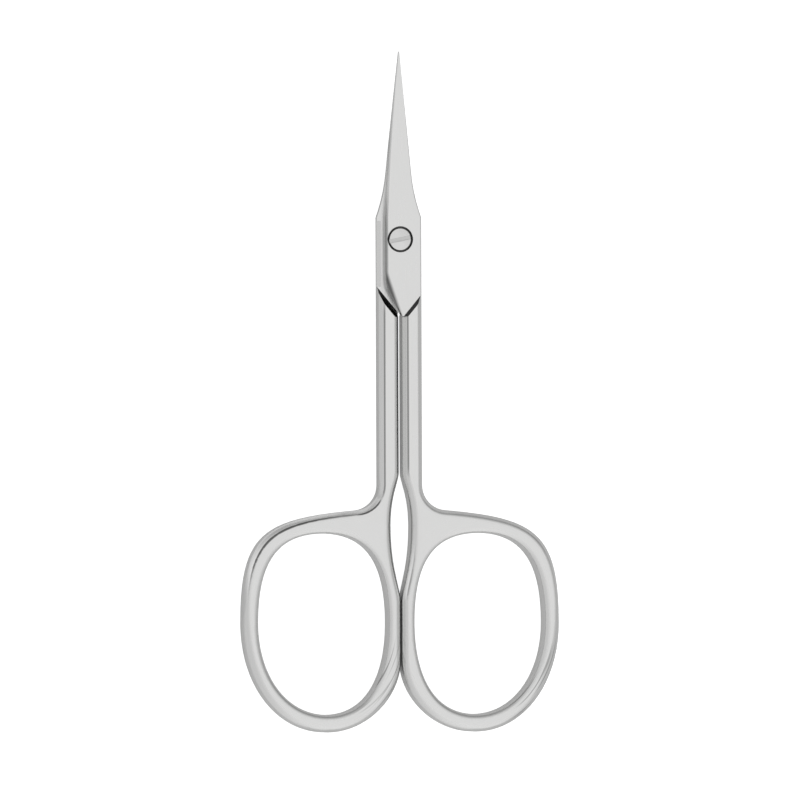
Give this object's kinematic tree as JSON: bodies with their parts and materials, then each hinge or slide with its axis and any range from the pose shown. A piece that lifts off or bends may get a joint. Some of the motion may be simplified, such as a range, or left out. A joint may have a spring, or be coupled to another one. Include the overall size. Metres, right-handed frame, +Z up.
{
  "type": "cuticle scissors",
  "caption": "Slim steel cuticle scissors with fine pointed, slightly upturned blades, oval finger rings and a slotted pivot screw.",
  "frame": {"origin": "middle of the footprint, on the surface that the closed scissors lie on; the pivot axis is 22.4 mm away along +Y", "axes": "+Y towards the tips, +X to the right seen from the screw head, +Z up, out of the screw head"},
  "size_m": [0.0478, 0.1, 0.0034],
  "materials": {
    "satin_steel": "satin, brushed along the length",
    "screw_steel": "turned and polished"
  },
  "bodies": {
    "rear_half": {"rear_half": "satin_steel"},
    "front_half": {"front_half": "satin_steel"},
    "pivot_screw": {"pivot_screw": "screw_steel"}
  },
  "joints": [
    {"name": "scissor_pivot", "type": "hinge", "parent": "rear_half", "child": "front_half", "pos_m": [0, 0.0224, 0.0017], "axis": [0, 0, 1], "range_deg": [0, 120]},
    {"name": "screw_adjustment", "type": "hinge", "parent": "rear_half", "child": "pivot_screw", "pos_m": [0, 0.0224, 0.0017], "axis": [0, 0, 1], "range_deg": [-30, 30]}
  ]
}
